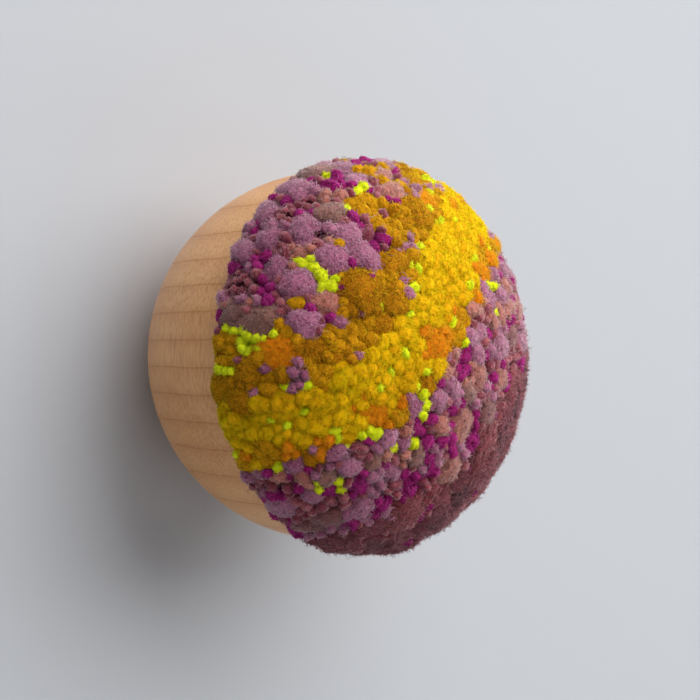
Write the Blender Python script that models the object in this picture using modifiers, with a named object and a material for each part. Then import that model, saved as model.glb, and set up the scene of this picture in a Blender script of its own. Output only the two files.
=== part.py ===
"""Wall piece: a turned maple ball, cut flat in front and behind, that carries a domed pad of punched wool.

The wall is the plane y = 0, +Z is up, and the piece stands out of the wall towards -Y. The origin is the
middle of the ball's flat back, where it meets the wall. Lengths are in metres.
"""

import math
import random

import bmesh
import bpy
from mathutils import Vector

# The ball, measured along its turning axis from the wall
BALL_RADIUS = 0.035
BALL_CENTRE = 0.031
BALL_FRONT = BALL_CENTRE + 0.0085
EDGE_ROUNDING = 0.0008
BALL_STEPS = 72
BALL_ARC_POINTS = 22

# The wool pad: half an ellipsoid whose edge hangs a little way back over the ball's front edge
PAD_RADIUS = 0.038
PAD_EDGE = BALL_CENTRE + 0.0074
PAD_HEIGHT = 0.0266
PAD_SUBDIVISIONS = 6
FIT_GAP = 0.0003
LIP_RADIUS = 0.0348
EDGE_TUCKS = [(0.0003, 0.0006), (0.0012, 0.0011)]

# The tufts: how deep the valleys between them go, and how closely they crowd together
VALLEY_DEPTH = 0.0021
TUFT_ROUNDNESS = 0.6
TUFT_CROWDING = 0.86
TUFT_SPOTS = 5200
TUFT_SEED = 11
GOLDEN_ANGLE = math.pi * (3 - math.sqrt(5))

# Colours run across the pad in wavy bands. "until" is where a band ends on the line that runs from the
# upper left (-1) to the lower right (1), and the two radii are its smallest and largest tufts.
BAND_SLOPE = math.radians(-52)
WAVE_HEIGHT = 0.085
WAVE_TURNS = 3.4
BANDS = [
    {"until": -0.58, "yarn": "mauve", "smallest": 0.0027, "largest": 0.0040},
    {"until": -0.30, "yarn": "dusty pink", "smallest": 0.0024, "largest": 0.0034},
    {"until": -0.08, "yarn": "ochre", "smallest": 0.0025, "largest": 0.0042},
    {"until": 0.20, "yarn": "gold", "smallest": 0.0017, "largest": 0.0022},
    {"until": 0.36, "yarn": "orange", "smallest": 0.0028, "largest": 0.0040},
    {"until": 0.54, "yarn": "dusty pink", "smallest": 0.0024, "largest": 0.0036},
    {"until": 0.76, "yarn": "brown rose", "smallest": 0.0022, "largest": 0.0036},
    {"until": 9.00, "yarn": "burgundy", "smallest": 0.0036, "largest": 0.0052},
]

MAPLE = {"colour": (0.52, 0.33, 0.18, 1.0), "roughness": 0.5}
WOOL = {"colour": (0.36, 0.11, 0.13, 1.0), "roughness": 0.95}


def clear_objects():
    for thing in list(bpy.data.objects):
        bpy.data.objects.remove(thing)


def new_material(name, colour, roughness):
    material = bpy.data.materials.new(name)
    material.use_nodes = True
    shader = material.node_tree.nodes["Principled BSDF"]
    shader.inputs["Base Color"].default_value = colour
    shader.inputs["Roughness"].default_value = roughness
    shader.inputs["Metallic"].default_value = 0.0
    return material


def ball_profile():
    """The turned outline, from the middle of the front face, round the ball, to the middle of the back."""
    front_radius = math.sqrt(BALL_RADIUS**2 - (BALL_FRONT - BALL_CENTRE) ** 2)
    back_radius = math.sqrt(BALL_RADIUS**2 - BALL_CENTRE**2)
    first = math.atan2(BALL_FRONT - BALL_CENTRE, front_radius) - EDGE_ROUNDING / BALL_RADIUS
    last = -math.atan2(BALL_CENTRE, back_radius) + EDGE_ROUNDING / BALL_RADIUS
    points = [(0.0, BALL_FRONT), (front_radius - EDGE_ROUNDING, BALL_FRONT)]
    for i in range(BALL_ARC_POINTS):
        angle = first + (last - first) * i / (BALL_ARC_POINTS - 1)
        points.append((BALL_RADIUS * math.cos(angle), BALL_CENTRE + BALL_RADIUS * math.sin(angle)))
    points += [(back_radius - EDGE_ROUNDING, 0.0), (0.0, 0.0)]
    return points


def make_ball(collection, stand):
    points = ball_profile()
    mesh = bpy.data.meshes.new("maple_ball")
    edges = [(i, i + 1) for i in range(len(points) - 1)]
    mesh.from_pydata([(radius, 0.0, along) for radius, along in points], edges, [])
    ball = bpy.data.objects.new("maple_ball", mesh)
    turn = ball.modifiers.new("turn", "SCREW")
    turn.axis = "Z"
    turn.steps = BALL_STEPS
    turn.render_steps = BALL_STEPS
    turn.use_merge_vertices = True
    turn.merge_threshold = 0.00001
    turn.use_smooth_shade = True
    ball.parent = stand
    collection.objects.link(ball)
    mesh.materials.append(new_material("maple", **MAPLE))
    return ball


def pad_point(side, up, out):
    """A point of the pad's plain outer surface, from a direction on the unit half ball."""
    return Vector((PAD_RADIUS * side, PAD_RADIUS * up, PAD_EDGE + PAD_HEIGHT * out))


def pad_normal(side, up, out):
    return Vector((side / PAD_RADIUS, up / PAD_RADIUS, out / PAD_HEIGHT)).normalized()


def band_at(side, up):
    """The colour band at a place on the pad. Its borders wave gently."""
    across = side * math.cos(BAND_SLOPE) + up * math.sin(BAND_SLOPE)
    along = up * math.cos(BAND_SLOPE) - side * math.sin(BAND_SLOPE)
    place = across + WAVE_HEIGHT * math.sin(WAVE_TURNS * along)
    return next(band for band in BANDS if place < band["until"])


def place_tufts():
    """The big tufts as (middle, radius, rise), from a golden-angle spiral of spots taken in mixed order."""
    chance = random.Random(TUFT_SEED)
    spots = list(range(TUFT_SPOTS))
    chance.shuffle(spots)
    tufts = []
    for spot in spots:
        out = (spot + 0.5) / TUFT_SPOTS
        angle = spot * GOLDEN_ANGLE
        side = math.sqrt(1 - out**2) * math.cos(angle)
        up = math.sqrt(1 - out**2) * math.sin(angle)
        band = band_at(side, up)
        radius = chance.uniform(band["smallest"], band["largest"])
        rise = chance.uniform(0.75, 1.0)
        middle = pad_point(side, up, out)
        if all((middle - other).length > TUFT_CROWDING * (radius + far) for other, far, _ in tufts):
            tufts.append((middle, radius, rise))
    return tufts


def tuft_relief(point, tufts):
    """How far a point of the pad lies under its plain surface: least on a tuft's crown, most between tufts."""
    crown = 0.0
    for middle, radius, rise in tufts:
        distance = (point - middle).length
        if distance < radius:
            crown = max(crown, rise * (1 - (distance / radius) ** 2) ** TUFT_ROUNDNESS)
    return VALLEY_DEPTH * (crown - 1)


def fold_edge(shape, rim, inward, along):
    """Pulls a new ring out of the open edge, and returns its edges. None for inward puts it on the lip."""
    made = bmesh.ops.extrude_edge_only(shape, edges=rim)["geom"]
    for vert in [part for part in made if isinstance(part, bmesh.types.BMVert)]:
        flat = Vector((vert.co.x, vert.co.y, 0.0))
        radius = LIP_RADIUS if inward is None else max(flat.length - inward, LIP_RADIUS + FIT_GAP)
        vert.co = flat.normalized() * radius + Vector((0.0, 0.0, along))
    return [part for part in made if isinstance(part, bmesh.types.BMEdge)]


def close_underside(shape):
    """Rounds the pad's edge back over the ball's front edge, then adds the flat that rests on the ball."""
    rim = [edge for edge in shape.edges if edge.is_boundary]
    for inward, backward in EDGE_TUCKS:
        rim = fold_edge(shape, rim, inward, PAD_EDGE - backward)
    rim = fold_edge(shape, rim, None, PAD_EDGE - EDGE_TUCKS[-1][1])
    rim = fold_edge(shape, rim, None, BALL_FRONT + FIT_GAP)
    flat = bmesh.ops.contextual_create(shape, geom=rim)["faces"]
    bmesh.ops.triangulate(shape, faces=flat)


def make_pad(collection, stand):
    """One filled solid: an icosphere cut at its middle row of edges, pressed to the pad's shape and tufted."""
    tufts = place_tufts()
    shape = bmesh.new()
    bmesh.ops.create_icosphere(shape, subdivisions=PAD_SUBDIVISIONS, radius=1.0)
    lower = [face for face in shape.faces if face.calc_center_median().z < 0]
    bmesh.ops.delete(shape, geom=lower, context="FACES")
    for vert in shape.verts:
        side, up, out = vert.co.x, vert.co.y, max(vert.co.z, 0.0)
        plain = pad_point(side, up, out)
        vert.co = plain + pad_normal(side, up, out) * tuft_relief(plain, tufts)
    close_underside(shape)
    bmesh.ops.recalc_face_normals(shape, faces=shape.faces)
    mesh = bpy.data.meshes.new("wool_pad")
    shape.to_mesh(mesh)
    shape.free()
    mesh.shade_smooth()
    mesh.materials.append(new_material("punched wool", **WOOL))
    pad = bpy.data.objects.new("wool_pad", mesh)
    pad.parent = stand
    collection.objects.link(pad)
    return pad


def main():
    clear_objects()
    collection = bpy.data.collections.new("punch needle wall piece")
    bpy.context.scene.collection.children.link(collection)
    stand = bpy.data.objects.new("turning_axis", None)
    stand.rotation_euler = (math.radians(90), 0.0, 0.0)
    collection.objects.link(stand)
    make_ball(collection, stand)
    make_pad(collection, stand)


main()
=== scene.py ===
import math
import random

import bpy
import numpy as np
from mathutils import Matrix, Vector


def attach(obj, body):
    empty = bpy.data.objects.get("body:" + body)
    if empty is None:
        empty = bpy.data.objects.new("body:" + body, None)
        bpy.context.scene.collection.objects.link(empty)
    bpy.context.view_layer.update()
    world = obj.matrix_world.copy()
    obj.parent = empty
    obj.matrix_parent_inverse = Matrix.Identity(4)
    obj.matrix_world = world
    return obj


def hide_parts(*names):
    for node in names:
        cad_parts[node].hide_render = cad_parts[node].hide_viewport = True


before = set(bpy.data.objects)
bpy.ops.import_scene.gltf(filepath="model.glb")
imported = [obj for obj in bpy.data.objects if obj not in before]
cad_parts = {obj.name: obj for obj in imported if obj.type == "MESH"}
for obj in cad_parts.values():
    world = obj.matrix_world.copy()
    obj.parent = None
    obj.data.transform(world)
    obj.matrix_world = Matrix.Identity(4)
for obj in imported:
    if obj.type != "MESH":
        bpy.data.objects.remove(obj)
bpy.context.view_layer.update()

# The view: a level look at the ball from its left front, an eighth of a turn off its axis, through a long
# lens. The picture's middle falls a little to the left of the ball's and a little above it.
ball_centre = Vector((0.0, -0.031, 0.0))
view_turn = math.radians(-45)
view_distance = 0.5326
view_left = 0.0034
view_above = 0.00104
sensor_width = 36
lens_length = 144
ahead = Vector((-math.sin(view_turn), math.cos(view_turn), 0.0))
across = Vector((math.cos(view_turn), math.sin(view_turn), 0.0))
place = ball_centre - ahead * view_distance + across * view_left + Vector((0.0, 0.0, view_above))
bpy.ops.object.camera_add(location=place, rotation=(math.radians(90), 0.0, view_turn))
camera = bpy.context.object
camera.data.sensor_width = sensor_width
camera.data.lens = lens_length
bpy.context.scene.camera = camera


# The ball: pale hard maple, turned on a lathe, sanded and oiled to a satin. A plane has cut it flat behind,
# where it meets the wall, and flat in front, where the wool sits. Both rims are eased with fine paper.
ball_radius = 0.035
ball_front = -0.0395
ball_back = 0.0
rim_rounding = 0.0008
on_the_cut = 1e-6
ball_segments = 160
ball_rings = 80
rim_steps = 4
smooth_below = math.radians(35)


def linear(hex_colour):
    """An sRGB hex colour as the linear numbers that a shader takes."""
    channels = [int(hex_colour[i : i + 2], 16) / 255 for i in (1, 3, 5)]
    return [c / 12.92 if c <= 0.04045 else ((c + 0.055) / 1.055) ** 2.4 for c in channels] + [1.0]


def add_node(tree, kind, inputs=None, **settings):
    """Adds a node. inputs gives a socket, by name or number, a value or another node's output."""
    node = tree.nodes.new(kind)
    for name, value in settings.items():
        setattr(node, name, value)
    for socket, value in (inputs or {}).items():
        if isinstance(value, bpy.types.NodeSocket):
            tree.links.new(value, node.inputs[socket])
        else:
            node.inputs[socket].default_value = value
    return node


def new_finish(name, **values):
    """A material with its node tree and its Principled shader, whose plain sockets are set by name."""
    material = bpy.data.materials.new(name)
    material.use_nodes = True
    shader = material.node_tree.nodes["Principled BSDF"]
    for socket, value in values.items():
        shader.inputs[socket.replace("_", " ")].default_value = value
    return material, material.node_tree, shader


def set_stops(ramp, stops):
    """Gives a colour ramp its stops, as (place, colour) pairs."""
    while len(ramp.color_ramp.elements) < len(stops):
        ramp.color_ramp.elements.new(0.5)
    for stop, (at, colour) in zip(ramp.color_ramp.elements, stops):
        stop.position = at
        stop.color = colour


bpy.ops.object.select_all(action="DESELECT")
bpy.ops.mesh.primitive_uv_sphere_add(
    segments=ball_segments,
    ring_count=ball_rings,
    radius=ball_radius,
    location=ball_centre,
    rotation=(math.radians(90), 0, 0),
)
ball = bpy.context.object
ball.name = "turned_maple_ball"
bpy.ops.object.transform_apply(location=True, rotation=True, scale=True)
bpy.ops.object.mode_set(mode="EDIT")
for cut, outward in ((ball_front, -1), (ball_back, 1)):
    bpy.ops.mesh.select_all(action="SELECT")
    bpy.ops.mesh.bisect(plane_co=(0, cut, 0), plane_no=(0, outward, 0), use_fill=True, clear_outer=True)
bpy.ops.object.mode_set(mode="OBJECT")
for edge in ball.data.edges:
    ends = [ball.data.vertices[i].co.y for i in edge.vertices]
    edge.select = any(all(abs(end - cut) < on_the_cut for end in ends) for cut in (ball_front, ball_back))
bpy.context.tool_settings.mesh_select_mode = (False, True, False)
bpy.ops.object.mode_set(mode="EDIT")
bpy.ops.mesh.bevel(offset=rim_rounding, segments=rim_steps)
bpy.ops.object.mode_set(mode="OBJECT")
bpy.ops.object.shade_smooth_by_angle(angle=smooth_below)

# Oiled maple: fine, even and pale. Growth rings cut by the round surface show as thin darker lines about
# 4.65 mm apart that open out towards the front, with short ray flecks across them and a soft satin gleam.
# The gap between rings and the size of a fleck are in millimetres, and the relief of the flecks in metres.
# The bends and ripples of the rings and the clouds of tone are in waves a metre.
ring_gap = 4.65
ring_start = 0.18
ring_opening = 2.5
ring_bends = 30.0
ring_bend_share = 0.40
ring_ripples = 260.0
ring_ripple_share = 0.05
cloud_waves = 55.0
fleck_relief = 0.0001
fleck_width = 0.16
fleck_height = 1.3
maple, tree, shader = new_finish(
    "oiled maple", Roughness=0.46, IOR=1.5, Coat_Weight=0.12, Coat_Roughness=0.35
)
spot = add_node(tree, "ShaderNodeTexCoord").outputs["Object"]
apart = add_node(tree, "ShaderNodeSeparateXYZ", {0: spot})
wander = add_node(tree, "ShaderNodeTexNoise", {"Vector": spot, "Scale": ring_bends, "Detail": 1.0})
ripple = add_node(tree, "ShaderNodeTexNoise", {"Vector": spot, "Scale": ring_ripples, "Detail": 1.0})
opening = add_node(
    tree, "ShaderNodeMath", {0: apart.outputs["Y"], 1: -ring_opening, 2: 1.0}, operation="MULTIPLY_ADD"
)
height = add_node(
    tree, "ShaderNodeMath", {0: apart.outputs["Z"], 1: opening.outputs[0]}, operation="DIVIDE"
)
rings = add_node(
    tree,
    "ShaderNodeMath",
    {0: height.outputs[0], 1: 1000 / ring_gap, 2: ring_start},
    operation="MULTIPLY_ADD",
)
for bends, share in ((wander, ring_bend_share), (ripple, ring_ripple_share)):
    rings = add_node(
        tree,
        "ShaderNodeMath",
        {0: bends.outputs["Fac"], 1: share, 2: rings.outputs[0]},
        operation="MULTIPLY_ADD",
    )
ring_place = add_node(tree, "ShaderNodeMath", {0: rings.outputs[0]}, operation="FRACT")
ring_tone = add_node(tree, "ShaderNodeValToRGB", {"Fac": ring_place.outputs[0]})
set_stops(
    ring_tone,
    [
        (0.0, linear("#dca56c")),
        (0.30, linear("#e4b078")),
        (0.62, linear("#e2ac74")),
        (0.93, linear("#d8a066")),
        (0.975, linear("#c68748")),
        (1.0, linear("#d49c60")),
    ],
)
fleck_space = add_node(
    tree,
    "ShaderNodeMapping",
    {"Vector": spot, "Scale": (1000 / fleck_width, 1000 / fleck_width, 1000 / fleck_height)},
)
flecks = add_node(
    tree, "ShaderNodeTexNoise", {"Vector": fleck_space.outputs[0], "Scale": 0.5, "Detail": 2.0}
)
fleck_tone = add_node(tree, "ShaderNodeValToRGB", {"Fac": flecks.outputs["Fac"]})
set_stops(fleck_tone, [(0.34, linear("#e4d8ca")), (0.5, linear("#f8f3ec")), (0.66, linear("#ffffff"))])
cloud = add_node(tree, "ShaderNodeTexNoise", {"Vector": spot, "Scale": cloud_waves, "Detail": 3.0})
cloud_tone = add_node(tree, "ShaderNodeValToRGB", {"Fac": cloud.outputs["Fac"]})
set_stops(cloud_tone, [(0.3, linear("#eee2d4")), (0.7, linear("#ffffff"))])
grain = add_node(
    tree,
    "ShaderNodeMix",
    {"Factor": 1.0, 6: ring_tone.outputs["Color"], 7: fleck_tone.outputs["Color"]},
    data_type="RGBA",
    blend_type="MULTIPLY",
)
wood = add_node(
    tree,
    "ShaderNodeMix",
    {"Factor": 1.0, 6: grain.outputs[2], 7: cloud_tone.outputs["Color"]},
    data_type="RGBA",
    blend_type="MULTIPLY",
)
relief = add_node(
    tree, "ShaderNodeBump", {"Strength": 0.12, "Distance": fleck_relief, "Height": flecks.outputs["Fac"]}
)
tree.links.new(wood.outputs[2], shader.inputs["Base Color"])
tree.links.new(relief.outputs[0], shader.inputs["Normal"])
ball.data.materials.append(maple)
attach(ball, "root")
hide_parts("maple_ball")


# The ground of the wool pad: the backing cloth's dome with the roots of the pile on it. It keeps the packed
# pad's own form, sunk so far that it shows only at the bottom of the valleys, as wool painted dark with
# shade.
ground_depth = 0.0012
edge_share = 0.75
ground_fibre = 0.35
felt_relief = 0.0003
pad_edge = 0.0384
pad_height = 0.0266

bpy.ops.object.select_all(action="DESELECT")
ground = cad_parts["wool_pad"].copy()
ground.data = ground.data.copy()
ground.name = "pad_ground"
for key in list(ground.keys()):
    del ground[key]
ground.parent = None
bpy.context.scene.collection.objects.link(ground)
bpy.context.view_layer.objects.active = ground
ground.select_set(True)
bpy.ops.object.mode_set(mode="EDIT")
bpy.ops.mesh.select_all(action="SELECT")
bpy.ops.mesh.remove_doubles(threshold=0.00001)
bpy.ops.object.mode_set(mode="OBJECT")
crown = ground.vertex_groups.new(name="crown")
for vertex in ground.data.vertices:
    out = min(max((-vertex.co.y - pad_edge) / pad_height, 0.0), 1.0)
    crown.add([vertex.index], edge_share + (1 - edge_share) * out, "REPLACE")
sink = ground.modifiers.new("sink", "DISPLACE")
sink.strength = -ground_depth
sink.mid_level = 0.0
sink.vertex_group = "crown"
bpy.ops.object.modifier_apply(modifier=sink.name)
bpy.ops.object.shade_smooth()

# Matted wool roots: as rough as a surface gets, and painted dark as shade, because little light comes down to
# it. Its colour is the painted root shade of the yarn above it, which is set once the tufts have their yarns.
shaded_roots, tree, shader = new_finish("matted wool", Roughness=1.0, Specular_IOR_Level=0.1)
spot = add_node(tree, "ShaderNodeTexCoord").outputs["Object"]
# The painted root shade of the nearest yarn.
root_shade_tone = add_node(tree, "ShaderNodeAttribute", attribute_name="shaded_roots")
felt = add_node(tree, "ShaderNodeTexNoise", {"Vector": spot, "Scale": 1000 / ground_fibre, "Detail": 2.0})
felt_tone = add_node(tree, "ShaderNodeValToRGB", {"Fac": felt.outputs["Fac"]})
set_stops(felt_tone, [(0.3, linear("#8c8c8c")), (0.7, linear("#ffffff"))])
felted = add_node(
    tree,
    "ShaderNodeMix",
    {"Factor": 1.0, 6: root_shade_tone.outputs["Color"], 7: felt_tone.outputs["Color"]},
    data_type="RGBA",
    blend_type="MULTIPLY",
)
nap = add_node(
    tree, "ShaderNodeBump", {"Strength": 0.8, "Distance": felt_relief, "Height": felt.outputs["Fac"]}
)
tree.links.new(felted.outputs[2], shader.inputs["Base Color"])
tree.links.new(nap.outputs[0], shader.inputs["Normal"])
ground.data.materials.clear()
ground.data.materials.append(shaded_roots)
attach(ground, "root")
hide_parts("wool_pad")


# Where the tufts are punched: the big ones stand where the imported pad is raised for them, in the same order
# of chance, and small ones are then punched into every gap that is wide enough. In places a knot of small
# loops, punched side by side in one yarn, fills the place of a big tuft.
tuft_crowding = 0.86
tuft_spots = 5200
tuft_seed = 11
golden_angle = math.pi * (3 - math.sqrt(5))
loop_spots = 20000
loop_seed = 5
loop_crowding = 0.72
loop_radii = (0.00085, 0.00140)
rises = (0.75, 1.0)
yarn_mixing = 0.25
knot_filling = 0.95
knot_inset = 0.4
loop_variety = (0.85, 1.15)
tone_shares = (0.45, 0.55)
pad_radius = 0.038

# Tufts change in size and in colour in wavy bands across the pad. "until" is where a band ends on the line
# that runs from the upper left (-1) to the lower right (1), and the radii are of its smallest and biggest
# tufts.
band_slope = math.radians(-52)
wave_height = 0.085
wave_turns = 3.4
size_bands = [
    {"until": -0.58, "smallest": 0.0027, "largest": 0.0040},
    {"until": -0.30, "smallest": 0.0024, "largest": 0.0034},
    {"until": -0.08, "smallest": 0.0025, "largest": 0.0042},
    {"until": 0.20, "smallest": 0.0017, "largest": 0.0022},
    {"until": 0.36, "smallest": 0.0028, "largest": 0.0040},
    {"until": 0.54, "smallest": 0.0024, "largest": 0.0036},
    {"until": 0.76, "smallest": 0.0022, "largest": 0.0036},
    {"until": 9.00, "smallest": 0.0036, "largest": 0.0052},
]
colour_bands = [
    {"until": -0.84, "name": "mauve"},
    {"until": -0.62, "name": "dusty pink"},
    {"until": -0.42, "name": "ochre"},
    {"until": -0.16, "name": "gold"},
    {"until": -0.04, "name": "orange"},
    {"until": 0.22, "name": "mauve"},
    {"until": 0.46, "name": "brown rose"},
    {"until": 9.00, "name": "burgundy"},
]

# For each band, the yarns that its big tufts are cut from and the yarns of the small tufts between them, in
# the order in which they drift into one another over the pad.
band_yarns = {
    "mauve": (
        ["rose", "mauve", "dusty pink", "mauve", "taupe", "mauve", "magenta", "mauve"],
        ["magenta", "rose", "mauve", "magenta", "rose", "dusty pink", "rose", "chartreuse"],
    ),
    "dusty pink": (
        ["dusty pink", "mauve", "dusty pink", "mauve", "taupe", "mustard"],
        ["magenta", "rose", "mustard", "magenta", "rose", "chartreuse"],
    ),
    "ochre": (
        ["ochre", "ochre", "mustard", "ochre", "orange"],
        ["mustard", "ochre", "mauve", "chartreuse", "mustard"],
    ),
    "gold": (
        ["gold"],
        ["gold", "orange", "gold", "gold", "gold", "chartreuse", "gold", "gold"],
    ),
    "orange": (
        ["orange", "ochre", "mustard", "orange"],
        ["gold", "chartreuse", "orange", "mauve"],
    ),
    "brown rose": (
        ["mauve", "brown rose", "mauve", "dusty pink", "brown rose", "magenta", "brown rose", "rose"],
        ["magenta", "rose", "mauve", "magenta", "rose", "rose"],
    ),
    "burgundy": (
        ["dark plum", "dark plum", "burgundy", "burgundy", "burgundy", "red wine", "red wine"],
        ["dark plum", "burgundy", "burgundy", "rose", "burgundy", "magenta", "red wine"],
    ),
}

# The yarns that are punched in knots, with the radius of a knot's loops.
knot_radii = {
    "rose": 0.00105,
    "magenta": 0.00135,
    "mustard": 0.00135,
    "chartreuse": 0.00135,
    "gold": 0.00108,
}


def band_at(side, up, bands):
    """The band of sizes or of colours at a place on the pad. Its borders wave gently."""
    across = side * math.cos(band_slope) + up * math.sin(band_slope)
    along = up * math.cos(band_slope) - side * math.sin(band_slope)
    place = across + wave_height * math.sin(wave_turns * along)
    return next(band for band in bands if place < band["until"])


def new_tuft(direction, radius, rise):
    """A tuft at a direction on the unit half ball, in lengths measured out from the wall."""
    x, y, z = direction
    middle = Vector((pad_radius * x, pad_radius * y, pad_edge + pad_height * z))
    slope = Vector((x / pad_radius, y / pad_radius, z / pad_height)).normalized()
    return {"middle": middle, "radius": radius, "rise": rise, "slope": slope}


def punch(tufts, spots, seed, crowding, radii):
    """Adds tufts at the spots of a golden-angle spiral, taken in mixed order, where they have room."""
    chance = random.Random(seed)
    order = list(range(spots))
    chance.shuffle(order)
    for spot in order:
        out = (spot + 0.5) / spots
        angle = spot * golden_angle
        side = math.sqrt(1 - out**2) * math.cos(angle)
        up = math.sqrt(1 - out**2) * math.sin(angle)
        band = band_at(side, up, size_bands)
        radius = chance.uniform(*(radii or (band["smallest"], band["largest"])))
        rise = chance.uniform(*rises)
        tuft = new_tuft(Vector((side, up, out)), radius, rise)
        middle = tuft["middle"]
        if all((middle - far["middle"]).length > crowding * (radius + far["radius"]) for far in tufts):
            tufts.append(tuft)


def drift(middle, phase):
    """A number from 0 to 1 that changes slowly over the pad, in waves about 16 mm long, so that like tufts
    stand side by side."""
    x, y, _ = middle * 1000
    wave = math.sin(0.34 * x + 0.19 * y + phase) + math.sin(0.26 * y - 0.31 * x + 2.1 * phase)
    return 0.5 + wave / 4


def knot(tuft, loop):
    """The small tufts that fill a big one's place: spots of a little spiral round its middle."""
    count = max(3, round(knot_filling * (tuft["radius"] / loop) ** 2))
    first = tuft["slope"].orthogonal().normalized()
    second = tuft["slope"].cross(first)
    turn = pick.uniform(0, math.tau)
    members = []
    for number in range(count):
        off = (tuft["radius"] - knot_inset * loop) * math.sqrt((number + 0.5) / count)
        angle = turn + number * golden_angle
        near = tuft["middle"] + first * off * math.cos(angle) + second * off * math.sin(angle)
        out = max((near.z - pad_edge) / pad_height, 0.0)
        direction = Vector((near.x / pad_radius, near.y / pad_radius, out)).normalized()
        rise = tuft["rise"] * (1 - (off / tuft["radius"]) ** 2) ** 0.5
        members.append(new_tuft(direction, loop * pick.uniform(*loop_variety), rise))
    return members


spots = []
punch(spots, tuft_spots, tuft_seed, tuft_crowding, None)
big_tufts = len(spots)
punch(spots, loop_spots, loop_seed, loop_crowding, loop_radii)
pick = random.Random(23)
tufts = []
for number, tuft in enumerate(spots):
    small = number >= big_tufts
    band = band_at(tuft["middle"].x / pad_radius, tuft["middle"].y / pad_radius, colour_bands)
    choice = band_yarns[band["name"]][small]
    place = drift(tuft["middle"], 1.0) + pick.uniform(-yarn_mixing, yarn_mixing)
    place = min(max(place, 0.0), 0.999)
    yarn = choice[int(place * len(choice))]
    group = [tuft] if small or yarn not in knot_radii else knot(tuft, knot_radii[yarn])
    for member in group:
        member["yarn"] = yarn
        member["tone"] = tone_shares[0] * drift(member["middle"], 4.0) + pick.uniform(0.0, tone_shares[1])
    tufts += group


# The bodies of the tufts: what a cut or looped tuft of wool comes to once it is brushed, a lumpy round with
# its roots in the backing. For each kind: how far it spreads over its place, how much it swells, how oval
# and how lumpy it is, and how much deeper it sits than the pile around it.
kinds = {
    "puff": {"spread": 1.14, "swell": 0.50, "oval": 1.35, "lumps": 0.75, "sunk": 0.0},
    "velvet": {"spread": 1.34, "swell": 0.40, "oval": 1.30, "lumps": 0.50, "sunk": 0.0001},
    "nap": {"spread": 1.50, "swell": 0.35, "oval": 1.35, "lumps": 0.50, "sunk": 0.0},
    "clump": {"spread": 1.66, "swell": 0.42, "oval": 1.35, "lumps": 0.60, "sunk": 0.0001},
    "merged nub": {"spread": 1.54, "swell": 0.60, "oval": 1.40, "lumps": 0.45, "sunk": 0.0001},
    "close nub": {"spread": 1.26, "swell": 0.70, "oval": 1.55, "lumps": 0.40, "sunk": 0.0001},
    "nub": {"spread": 1.22, "swell": 0.85, "oval": 1.60, "lumps": 0.30, "sunk": 0.0001},
    "loop": {"spread": 1.20, "swell": 0.90, "oval": 1.50, "lumps": 0.25, "sunk": 0.0001},
}
kind_of_yarn = {
    "mauve": "puff",
    "dusty pink": "puff",
    "taupe": "puff",
    "brown rose": "puff",
    "ochre": "velvet",
    "orange": "velvet",
    "burgundy": "nap",
    "dark plum": "nap",
    "red wine": "nap",
    "gold": "clump",
    "magenta": "close nub",
    "chartreuse": "nub",
    "mustard": "merged nub",
    "rose": "loop",
}
valley_depth = 0.0021
body_rise = 0.0010
nap_room = 0.0003
coarse_below = 0.0016
fibre_reach = 0.0016
well_inside = 0.90
flat_below = -0.42
wood_clearance = 0.00012
edge_overhang = 0.0024
unevenness = (-0.0002, 0.0003)


def unit(vectors):
    """The same directions, each of length one."""
    return vectors / np.linalg.norm(vectors, axis=-1, keepdims=True)


dice = np.random.default_rng(41)
for tuft in tufts:
    kind = kinds[kind_of_yarn[tuft["yarn"]]]
    slope = np.array(tuft["slope"])
    turn = dice.uniform(0, math.tau)
    first = unit(np.cross(slope, (math.cos(turn), math.sin(turn), 0.3)))
    oval = math.sqrt(dice.uniform(1.0, kind["oval"]))
    tall = body_rise + tuft["radius"] * kind["swell"]
    sunk = valley_depth * (1 - tuft["rise"]) + nap_room + tall + kind["sunk"] + dice.uniform(*unevenness)
    wide = tuft["radius"] * kind["spread"]
    tuft["axes"] = np.stack([first, np.cross(slope, first), slope])
    tuft["sizes"] = np.array([wide * oval, wide / oval, tall])
    tuft["centre"] = np.array(tuft["middle"]) - slope * sunk
    tuft["lumps"] = dice.uniform(0, math.tau, (4, 3))
    tuft["lump_depth"] = kind["lumps"]
    tuft["coarse"] = tuft["radius"] < coarse_below

centres = np.stack([tuft["centre"] for tuft in tufts])
frames = np.stack([tuft["axes"] for tuft in tufts])
sizes = np.stack([tuft["sizes"] for tuft in tufts])


def body_shape(subdivisions):
    """The points and faces of a round body, closed flat below, to be copied into each tuft."""
    bpy.ops.object.select_all(action="DESELECT")
    bpy.ops.mesh.primitive_ico_sphere_add(subdivisions=subdivisions, radius=1.0)
    bpy.ops.object.mode_set(mode="EDIT")
    bpy.ops.mesh.select_all(action="SELECT")
    bpy.ops.mesh.bisect(plane_co=(0, 0, flat_below), plane_no=(0, 0, -1), use_fill=True, clear_outer=True)
    bpy.ops.mesh.select_all(action="SELECT")
    bpy.ops.mesh.remove_doubles(threshold=0.02)
    bpy.ops.mesh.quads_convert_to_tris()
    bpy.ops.object.mode_set(mode="OBJECT")
    shape = bpy.context.object.data
    points = np.array([vertex.co for vertex in shape.vertices])
    faces = np.array([face.vertices for face in shape.polygons])
    bpy.data.objects.remove(bpy.context.object)
    return points, faces


def lumpiness(directions, lumps):
    """A gentle unevenness of a round body, from a few waves."""
    total = np.zeros(len(directions))
    for turns, row in zip((2.1, 3.3, 4.9, 7.3), lumps):
        wave = np.sin(turns * directions[:, 0] + row[0]) * np.sin(turns * directions[:, 1] + row[1])
        total += wave * np.cos(turns * directions[:, 2] + row[2]) / turns
    return total


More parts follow.
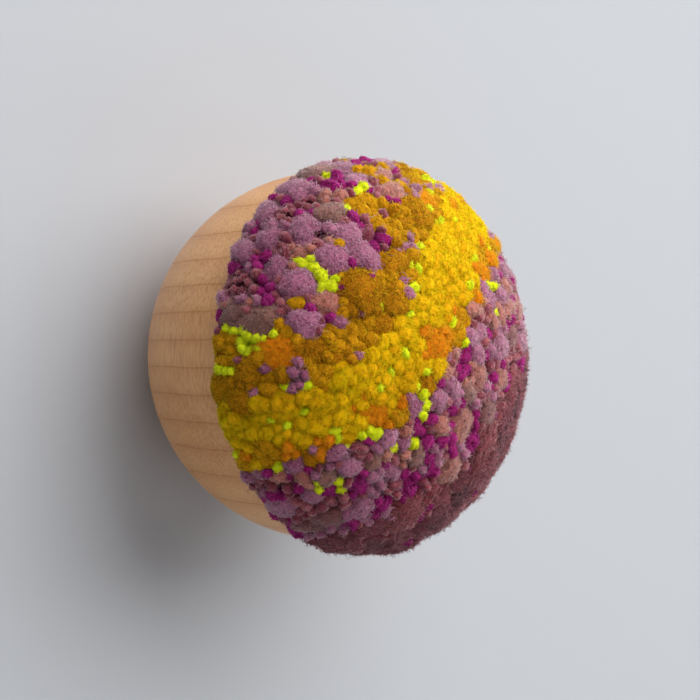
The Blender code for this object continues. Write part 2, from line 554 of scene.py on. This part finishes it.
def on_body(tuft, directions):
    """Points and outward directions of a tuft's body, for directions on the unit ball."""
    lumps = lumpiness(directions, tuft["lumps"])[:, None] * tuft["lump_depth"] * np.array((1.0, 1.0, 0.3))
    local = directions * (1 + lumps) * tuft["sizes"]
    outward = unit(directions / tuft["sizes"])
    return tuft["centre"] + local @ tuft["axes"], outward @ tuft["axes"]


def buried(points, own):
    """Whether each point lies inside a tuft other than its own, which is given by its number."""
    gaps = np.linalg.norm(centres - centres[own], axis=1) - sizes.max(axis=1) - sizes[own].max()
    near = np.flatnonzero((gaps < fibre_reach) & (np.arange(len(centres)) != own))
    away = points[:, None, :] - centres[near][None]
    inside = np.einsum("pnj,nkj->pnk", away, frames[near]) / sizes[near]
    return ((inside**2).sum(-1) < well_inside).any(axis=1)


def off_the_wood(points):
    """Pushes points that lie inside the turned ball, behind its front, out to its surface."""
    middle = np.array((0.0, 0.0, -ball_centre.y))
    away = points - middle
    far = np.linalg.norm(away, axis=-1, keepdims=True)
    inside = (far < ball_radius + wood_clearance) & (points[..., 2:] < -ball_front)
    return np.where(inside, middle + away / far * (ball_radius + wood_clearance), points)


def drawn_in(points):
    """Draws in points that reach back past the pad's edge, so that the pile ends there in a close line."""
    points = points.copy()
    past = np.maximum(pad_edge - points[..., 2], 0)
    points[..., 2] += past - edge_overhang * (1 - np.exp(-past / edge_overhang))
    return points


def from_wall(points):
    """Turns points measured out from the wall into the row frame, where out of the wall is -Y."""
    return np.stack([points[..., 0], -points[..., 2], points[..., 1]], axis=-1)


def slivers(paths, width):
    """Closed slivers along paths of a few points each: three-sided, and pointed at both ends."""
    count, steps = paths.shape[:2]
    along = unit(paths[:, -1] - paths[:, 0])
    side_a = unit(np.cross(along, dice.normal(size=along.shape)))
    side_b = np.cross(along, side_a)
    turns = [0, math.tau / 3, 2 * math.tau / 3]
    ring = np.stack([side_a * math.cos(turn) + side_b * math.sin(turn) for turn in turns], axis=1)
    rings = paths[:, 1:-1, None, :] + ring[:, None] * np.reshape(width, (-1, 1, 1, 1)) / 2
    points = np.concatenate([paths[:, :1], rings.reshape(count, -1, 3), paths[:, -1:]], axis=1)
    last = 3 * (steps - 2) + 1
    faces = [(1 + (i + 1) % 3, 1 + i, 0) for i in range(3)]
    for first in range(1, last - 3, 3):
        for i in range(3):
            j = (i + 1) % 3
            faces += [(first + i, first + j, first + 3 + j), (first + i, first + 3 + j, first + 3 + i)]
    faces += [(last - 3 + i, last - 3 + (i + 1) % 3, last) for i in range(3)]
    faces = np.arange(count)[:, None, None] * (last + 1) + np.array(faces)[None]
    return points, faces.reshape(-1, 3)


def joined_piece(name, points, faces, normals, marks, material):
    """One mesh piece from arrays. marks gives each point's named numbers. Every two faces share a cell of
    the piece's map, so that each fibre keeps its colours when they are baked."""
    mesh = bpy.data.meshes.new(name)
    mesh.from_pydata(from_wall(off_the_wood(drawn_in(points))), [], faces)
    for mark, values in marks.items():
        mesh.attributes.new(mark, "FLOAT", "POINT").data.foreach_set("value", values.astype(np.float32))
    cells = math.ceil(math.sqrt(len(faces) / 2))
    pair = np.arange(len(faces)) // 2
    corner = np.stack([pair % cells, pair // cells], axis=-1)[:, None, :]
    lower = np.array([(0.12, 0.12), (0.72, 0.12), (0.12, 0.72)])
    upper = 1 - lower
    within = np.where((np.arange(len(faces)) % 2 == 0)[:, None, None], lower[None], upper[None])
    mesh.uv_layers.new(name="OFBake").uv.foreach_set("vector", ((corner + within) / cells).ravel())
    mesh.shade_smooth()
    mesh.normals_split_custom_set_from_vertices(from_wall(unit(normals)).tolist())
    piece = bpy.data.objects.new(name, mesh)
    bpy.context.scene.collection.objects.link(piece)
    mesh.materials.append(material)
    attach(piece, "root")
    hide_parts("wool_pad")


# How wool takes its colour: the shares of a fibre's own tone and of the patches of tone over the pad, in
# millimetres the size of those patches, and how thin the lines of the hairs are drawn.
tone_share = 0.5
tone_shift = -0.24
patch_share = 0.3
patch_size = 1.8
hair_thinness = 9.0
finer_hair = 0.62
hair_relief = 0.0001
glow_depth = 0.0006


def wool(name, row):
    """Dyed wool: matt, with a soft pale sheen where fibres are seen edge on. Its colour runs from a painted
    shade at a fibre's root and low on a body's flanks to a painted light at a fibre's tip and on a body's
    top, and fibres and tufts also differ in tone at random. Crimped hairs draw fine curly lines on the body."""
    material, tree, shader = new_finish(
        name,
        Roughness=0.9,
        Specular_IOR_Level=0.15,
        Subsurface_Weight=0.5,
        Subsurface_Radius=row.get("glow", (1.0, 0.8, 0.7)),
        Subsurface_Scale=glow_depth,
        Sheen_Weight=row.get("sheen", 0.12),
        Sheen_Roughness=0.5,
        Sheen_Tint=linear(row.get("bloom", row["light"])),
    )
    spot = add_node(tree, "ShaderNodeTexCoord").outputs["Object"]
    # Painted shade and light: low at the roots and on the flanks of the bodies, where the colour is darkest,
    # high at the tips and on the tops, where it is lightest.
    shade_height = add_node(tree, "ShaderNodeAttribute", attribute_name="shade_height")
    tone = add_node(tree, "ShaderNodeAttribute", attribute_name="tone")
    level = add_node(
        tree, "ShaderNodeMath", {0: tone.outputs["Fac"], 1: shade_height.outputs["Fac"]}, operation="ADD"
    ).outputs[0]
    level = add_node(
        tree, "ShaderNodeMath", {0: level, 1: tone_share, 2: tone_shift}, operation="MULTIPLY_ADD"
    ).outputs[0]
    lines = None
    for spacing, twist in ((row["hair"], 1.6), (row["hair"] * finer_hair, 0.8)):
        crimp = add_node(
            tree,
            "ShaderNodeTexNoise",
            {"Vector": spot, "Scale": 1000 / spacing, "Detail": 1.0, "Roughness": 0.5, "Distortion": twist},
        ).outputs["Fac"]
        away = add_node(tree, "ShaderNodeMath", {0: crimp, 1: 0.5}, operation="SUBTRACT").outputs[0]
        away = add_node(tree, "ShaderNodeMath", {0: away}, operation="ABSOLUTE").outputs[0]
        line = add_node(
            tree,
            "ShaderNodeMath",
            {0: away, 1: -hair_thinness, 2: 1.0},
            operation="MULTIPLY_ADD",
            use_clamp=True,
        ).outputs[0]
        if lines:
            line = add_node(tree, "ShaderNodeMath", {0: lines, 1: line}, operation="MAXIMUM").outputs[0]
        lines = line
    mottle = add_node(
        tree,
        "ShaderNodeTexNoise",
        {"Vector": spot, "Scale": 1000 / row.get("mottle", patch_size), "Detail": 2.0},
    ).outputs["Fac"]
    level = add_node(
        tree, "ShaderNodeMath", {0: lines, 1: row["lines"], 2: level}, operation="MULTIPLY_ADD"
    ).outputs[0]
    level = add_node(
        tree, "ShaderNodeMath", {0: mottle, 1: patch_share, 2: level}, operation="MULTIPLY_ADD"
    ).outputs[0]
    # From the yarn's dark end, which is also its painted shade, through its body colour to its light end,
    # which is also its painted light.
    colour = add_node(tree, "ShaderNodeValToRGB", {"Fac": level})
    shades = zip((0.12, 0.50, 0.95), (row["deep"], row["body"], row["light"]))
    set_stops(colour, [(at, linear(shade)) for at, shade in shades])
    fluff = add_node(tree, "ShaderNodeBump", {"Strength": 0.5, "Distance": hair_relief, "Height": lines})
    tree.links.new(colour.outputs["Color"], shader.inputs["Base Color"])
    tree.links.new(fluff.outputs[0], shader.inputs["Normal"])
    return material


# The fibres. A small tuft's body has fewer faces than a big one's. Its upper side has upper_share times the
# area that it stands on. The shade heights place each part of a body or a fibre between painted shade, low on
# a body's flanks and at a fibre's root, and painted light, on a body's top and at a fibre's tip.
body_shapes = {True: body_shape(2), False: body_shape(3)}
upper_share = 1.9
root_depth = 0.00006
fibre_overhang = 0.0028
body_shade_heights = (0.20, 0.30)
fibre_shade_heights = (0.25, 0.5, 0.5, 0.5, 0.7)
below_middle = 0.12
lying_width = 1.2
width_variety = (0.6, 1.2)
downhill_scatter = 0.45
stand_scatter = 0.16
least_stand = 0.04
kink = 0.7
outer_light = 0.8
round_light = 0.4
root_shades = {}


def places_on(count):
    """Directions for fibres, all over the upper side of a tuft's body."""
    places = unit(dice.normal(size=(count, 3)))
    places[:, 2] = np.abs(places[:, 2]) - below_middle
    return unit(places)


def lying_fibres(tuft, row, count):
    """Paths of three points for crimped fibres that lie along a tuft's body, both ends tucked in. Combed
    ones follow the tuft's long way."""
    spot = places_on(count)
    heading = dice.normal(size=(count, 3))
    heading = unit(heading + dice.choice((-1, 1), (count, 1)) * np.array((row["combed"], 0, 0)))
    step = row["length"] * 0.001 * dice.uniform(0.5, 1.0, (count, 1)) / 2 / tuft["sizes"].mean()
    height = row["width"] * 0.001 * dice.uniform(0.1, 0.8, (count, 1))
    trail = []
    for share in (-0.5, 1.0, -0.5):
        points, outward = on_body(tuft, spot)
        trail.append(points + outward * height * share)
        heading = unit(heading - spot * (heading * spot).sum(-1, keepdims=True))
        heading = unit(heading + np.cross(spot, heading) * dice.normal(0, row["curl"], (count, 1)))
        spot = unit(spot + heading * step)
    return np.stack(trail, axis=1), outward


def fluff_fibres(tuft, row, count):
    """Paths of three points for fibres that run out over a tuft's edge, or up from a cut end, and stand
    off."""
    spot = places_on(count)
    points, outward = on_body(tuft, spot)
    downhill = (spot * np.array((1, 1, 0))) @ tuft["axes"] + dice.normal(0, downhill_scatter, (count, 3))
    downhill = unit(downhill - outward * (downhill * outward).sum(-1, keepdims=True))
    stand = np.clip(dice.normal(row["stand"], stand_scatter, (count, 1)), least_stand, 1.0)
    length = row["fluff_length"] * 0.001 * dice.uniform(0.4, 1.0, (count, 1)) / 2
    first = unit(downhill * (1 - stand) + outward * stand)
    second = unit(first + unit(dice.normal(size=(count, 3))) * row["curl"] * kink + outward * 0.05)
    start = points - outward * root_depth
    middle = start + first * length
    return np.stack([start, middle, middle + second * length], axis=1), outward


def pile_piece(yarn, row):
    """All tufts of one yarn as one piece: their bodies, and the bent fibres over them."""
    members = [i for i, tuft in enumerate(tufts) if tuft["yarn"] == yarn]
    # The painted root shade that this yarn gives the ground below it.
    root_shades[yarn] = row.get("root", row["deep"])
    points, faces, normals, shade_height, tone = [], [], [], [], []
    total = 0
    paths, outs, tones, widths = [], [], [], []
    for i in members:
        tuft = tufts[i]
        directions, triangles = body_shapes[tuft["coarse"]]
        spots, outward = on_body(tuft, directions)
        own_tone = 0.5 + row["patches"] * (tuft["tone"] - 0.5)
        slope = np.array(tuft["slope"])
        points.append(spots)
        normals.append(unit(outward + row["evenness"] * slope))
        faces.append(triangles + total)
        total += len(spots)
        # Painted shade low on the body's flanks, painted light towards its top.
        shade_height.append(body_shade_heights[0] + body_shade_heights[1] * np.clip(directions[:, 2], 0, 1))
        tone.append(np.full(len(spots), own_tone))
        area = math.pi * (tuft["radius"] * 1000) ** 2 * upper_share
        for make, amount, wide in (
            (lying_fibres, row["lying"], lying_width),
            (fluff_fibres, row["fluff"], 1.0),
        ):
            trail, outward = make(tuft, row, int(area * amount))
            kept = ~buried(trail[:, 1], i) & ~buried(trail[:, 2], i)
            kept &= trail[:, 0, 2] > pad_edge - fibre_overhang
            paths.append(trail[kept])
            outs.append(unit(outward + row["evenness"] * slope)[kept])
            tones.append(own_tone + dice.normal(0, row["contrast"], kept.sum()))
            widths.append(row["width"] * 0.001 * wide * dice.uniform(*width_variety, kept.sum()))
    paths, outs, tones, widths = map(np.concatenate, (paths, outs, tones, widths))
    sliver_points, sliver_faces = slivers(paths, widths)
    around = unit(sliver_points - paths.mean(1, keepdims=True))
    points.append(sliver_points.reshape(-1, 3))
    faces.append(sliver_faces + total)
    normals.append((outs[:, None, :] * outer_light + around * round_light).reshape(-1, 3))
    shade_height.append(np.tile(fibre_shade_heights, len(paths)))
    tone.append(np.repeat(tones, len(fibre_shade_heights)))
    joined_piece(
        yarn.replace(" ", "_") + "_pile",
        np.concatenate(points),
        np.concatenate(faces),
        np.concatenate(normals),
        {"shade_height": np.concatenate(shade_height), "tone": np.concatenate(tone)},
        wool(yarn + " wool", row),
    )


# Puffs: soft wool yarn punched through the backing, cut and brushed until each tuft stands as a felted puff
# of its own, in four dusty shades. Its crimped hairs lie over it, and its edges are soft.
#
# A yarn's row gives its colours: its dark end, which also paints shade at the roots and low on the bodies,
# its body colour, and light, its light end, which also paints light at the tips and on the tops of the
# bodies; root, the painted shade of the ground below it; and the bloom on what is seen edge on. hair is how
# far apart the fine lines lie and lines how strong they are. contrast and patches are how far fibres and
# tufts differ in tone. lying and fluff are fibres to the square millimetre, and lengths and widths are in
# millimetres. combed draws fibres along a tuft, curl bends them and stand lifts the fluff. evenness turns the
# shading of a tuft towards that of the whole dome.
puffs = {
    "mauve": {"deep": "#521430", "body": "#9a4c6e", "light": "#d288a8", "contrast": 0.46},
    "dusty pink": {"deep": "#60241e", "body": "#ac5c50", "light": "#dc907c", "contrast": 0.46},
    "taupe": {"deep": "#401c1a", "body": "#84504a", "light": "#b4826e", "contrast": 0.46},
    "brown rose": {"deep": "#340c12", "body": "#723236", "light": "#a86458", "contrast": 0.46},
}
puff_fibres = {
    "hair": 0.75, "lines": 0.34, "patches": 0.60, "root": "#4c1024", "evenness": 0.8,
    "sheen": 0.70, "bloom": "#f6dce5", "length": 1.4, "width": 0.13, "lying": 7.0, "combed": 0.0, "curl": 1.3,
    "fluff": 16.0, "fluff_length": 1.1, "stand": 0.31,
}
for yarn, row in puffs.items():
    pile_piece(yarn, puff_fibres | row)


# Velvet: ochre and orange pile sheared short and even, so that tufts run together and show their cut ends.
velvets = {
    "ochre": {"deep": "#5e2a00", "body": "#a46000", "light": "#e09c08", "contrast": 0.46},
    "orange": {"deep": "#a43c00", "body": "#e07400", "light": "#f8a010", "contrast": 0.30},
}
velvet_fibres = {
    "hair": 0.50, "lines": 0.42, "patches": 0.40, "evenness": 1.2,
    "length": 1.2, "width": 0.14, "lying": 8.0, "combed": 0.0, "curl": 1.4,
    "fluff": 20.0, "fluff_length": 0.9, "stand": 0.62,
}
for yarn, row in velvets.items():
    pile_piece(yarn, velvet_fibres | row)


# The nap: long loops of burgundy wool, all cut and brushed into one another until no tuft shows by itself.
# It is almost black in places, and curled hairs, pale and dark, lie all over it.
naps = {
    "burgundy": {"deep": "#0e0206", "body": "#520f1b", "light": "#94404c", "contrast": 0.50},
    "dark plum": {"deep": "#060103", "body": "#2a0a14", "light": "#78343e", "contrast": 0.50},
    "red wine": {"deep": "#200408", "body": "#6a1a22", "light": "#a8505a", "contrast": 0.50},
}
nap_fibres = {
    "hair": 0.65, "lines": 0.42, "patches": 0.95, "mottle": 3.0, "evenness": 0.9,
    "sheen": 0.30, "bloom": "#e8c8cc", "length": 1.9, "width": 0.14, "lying": 9.0, "combed": 0.0, "curl": 1.5,
    "fluff": 13.0, "fluff_length": 1.6, "stand": 0.30,
}
for yarn, row in naps.items():
    pile_piece(yarn, nap_fibres | row)


# Clumps of gold: short pile, punched close and cut straight across, so that the clumps merge and the cut
# ends stand up all over them in a fine broken grain.
clumps = {
    "deep": "#c46400", "body": "#f2ae00", "light": "#fcd000", "contrast": 0.44,
    "hair": 0.45, "lines": 0.42, "patches": 0.55, "sheen": 0.0, "evenness": 2.6,
    "length": 1.1, "width": 0.14, "lying": 11.0, "combed": 0.0, "curl": 1.1, "root": "#b05a00",
    "fluff": 36.0, "fluff_length": 0.85, "stand": 0.55, "glow": (1.0, 0.7, 0.2),
}
pile_piece("gold", clumps)


# Nubs and loops: tight loops of bright yarn, snipped at the crown, that stand alone or in knots, where the
# mustard ones run together, and thinner loops of rose, left uncut and smooth, in knots and in the gaps
# between the puffs.
nubs = {
    "magenta": {"deep": "#400024", "body": "#8a0054", "light": "#b83488", "contrast": 0.50},
    "chartreuse": {"deep": "#b4c800", "body": "#e0f000", "light": "#f6ff28", "contrast": 0.24},
    "mustard": {
        "deep": "#703600", "body": "#b87800", "light": "#e8a808", "contrast": 0.50, "root": "#8c5000",
    },
}
nub_fibres = {
    "hair": 0.45, "lines": 0.44, "patches": 0.40, "evenness": 0.7,
    "length": 1.5, "width": 0.15, "lying": 10.0, "combed": 2.5, "curl": 0.5,
    "fluff": 10.0, "fluff_length": 0.8, "stand": 0.40, "sheen": 0.04,
}
for yarn, row in nubs.items():
    pile_piece(yarn, nub_fibres | row)

loops = {
    "deep": "#400618", "body": "#84283e", "light": "#c87478", "contrast": 0.34,
    "hair": 0.5, "lines": 0.30, "patches": 0.70, "evenness": 0.3, "root": "#3a0a18",
    "sheen": 0.60, "bloom": "#f6dce0", "length": 1.5, "width": 0.14, "lying": 10.0, "combed": 3.0,
    "curl": 0.4, "fluff": 7.0, "fluff_length": 0.7, "stand": 0.30,
}
pile_piece("rose", loops)


# The ground takes the painted root shade of the yarn that stands nearest.
root_shade_colours = np.array([linear(root_shades[tuft["yarn"]]) for tuft in tufts])
ground_points = np.array([(v.co.x, v.co.z, -v.co.y) for v in ground.data.vertices])
nearest = [int(np.argmin(np.linalg.norm(centres - point, axis=1))) for point in ground_points]
ground_root_shades = ground.data.attributes.new("shaded_roots", "FLOAT_COLOR", "POINT")
ground_root_shades.data.foreach_set("color", root_shade_colours[nearest].ravel())


# Stray hairs: single long hairs that brushing has pulled loose. They curl over the softer tufts and catch
# the light.
strays = {"deep": "#6e3a44", "body": "#a47078", "light": "#cca4a4", "hair": 0.5, "lines": 0.0}
stray_yarns = ("mauve", "dusty pink", "taupe", "brown rose", "burgundy", "rose")
stray_count = 1000
stray_steps = 7
stray_step = 0.00045
stray_width = 0.00008
soft_tufts = [i for i, tuft in enumerate(tufts) if tuft["yarn"] in stray_yarns]
picks = np.array(soft_tufts)[dice.integers(0, len(soft_tufts), stray_count)]
directions = unit(dice.normal(size=(stray_count, 3)))
directions[:, 2] = np.abs(directions[:, 2])
found = [on_body(tufts[i], direction[None]) for i, direction in zip(picks, directions)]
starts, outward = (np.concatenate(part) for part in zip(*found))
heading = unit(np.cross(outward, dice.normal(size=starts.shape)) + outward * 0.15)
trail = [starts]
for step in range(stray_steps - 1):
    trail.append(trail[-1] + heading * stray_step)
    curl = dice.normal(0.5, 0.5, (stray_count, 1))
    heading = unit(heading + np.cross(outward, heading) * curl - outward * 0.12)
paths = np.stack(trail, axis=1)
clear = [
    starts[i, 2] > pad_edge and not buried(paths[i, 2:5:2], picks[i]).any() for i in range(stray_count)
]
paths = paths[clear]
stray_points, stray_faces = slivers(paths, stray_width)
stray_marks = {
    "shade_height": np.full(stray_points.shape[0] * stray_points.shape[1], 0.5),
    "tone": np.repeat(dice.uniform(0.0, 1.0, len(paths)), stray_points.shape[1]),
}
stray_normals = np.repeat(outward[clear], stray_points.shape[1], axis=0)
stray_wool = wool("stray wool", strays)
stray_points = stray_points.reshape(-1, 3)
joined_piece("stray_hairs", stray_points, stray_faces, stray_normals, stray_marks, stray_wool)


# The stage: a plain pale wall behind the piece, a plain pale floor well below it, and soft window light
# from the upper right. From behind and from below, wall and floor let the view through to the piece.
wall_gap = 0.0004
wall_size = 4.0
floor_below = 0.30
floor_size = 8.0
room_light = 0.075


def clear_from_behind(tree, shader):
    """Lets the view through a stage plane's back, so that the piece shows from every side."""
    behind = add_node(tree, "ShaderNodeNewGeometry").outputs["Backfacing"]
    clear = add_node(tree, "ShaderNodeBsdfTransparent")
    either = add_node(tree, "ShaderNodeMixShader", {0: behind, 1: shader.outputs[0], 2: clear.outputs[0]})
    tree.links.new(either.outputs[0], tree.nodes["Material Output"].inputs["Surface"])


bpy.ops.object.select_all(action="DESELECT")
bpy.ops.mesh.primitive_plane_add(size=wall_size, location=(0, wall_gap, 0), rotation=(math.radians(90), 0, 0))
wall = bpy.context.object
wall.name = "pale_wall"
wall.visible_shadow = False
paint, tree, shader = new_finish(
    "pale wall paint", Base_Color=linear("#b5b9c1"), Roughness=0.85, Specular_IOR_Level=0.2
)
clear_from_behind(tree, shader)
wall.data.materials.append(paint)

bpy.ops.mesh.primitive_plane_add(size=floor_size, location=(0, 0, -floor_below))
floor = bpy.context.object
floor.name = "pale_floor"
floor_paint, tree, shader = new_finish(
    "pale floor paint", Base_Color=linear("#a8a8a8"), Roughness=0.8, Specular_IOR_Level=0.2
)
clear_from_behind(tree, shader)
floor.data.materials.append(floor_paint)

# A big window to the upper right, a weak bounce from the left, and a weak light for the ball's back
lamps = [
    {"at": (0.35, -0.75, 0.75), "size": 1.8, "watts": 34.5, "colour": "#fffdf8"},
    {"at": (-0.9, -0.7, 0.70), "size": 1.0, "watts": 1.2, "colour": "#f4f7ff"},
    {"at": (0.2, 0.9, 0.5), "size": 0.8, "watts": 1.6, "colour": "#ffffff"},
]
for lamp in lamps:
    bpy.ops.object.light_add(type="AREA", location=lamp["at"])
    light = bpy.context.object
    light.data.size = lamp["size"]
    light.data.energy = lamp["watts"]
    light.data.color = linear(lamp["colour"])[:3]
    light.rotation_euler = (ball_centre - Vector(lamp["at"])).to_track_quat("-Z", "Y").to_euler()

world = bpy.data.worlds.new("soft room light")
bpy.context.scene.world = world
world.use_nodes = True
world.node_tree.nodes["Background"].inputs["Color"].default_value = linear("#eef1f6")
world.node_tree.nodes["Background"].inputs["Strength"].default_value = room_light
bpy.context.scene.view_settings.view_transform = "Standard"
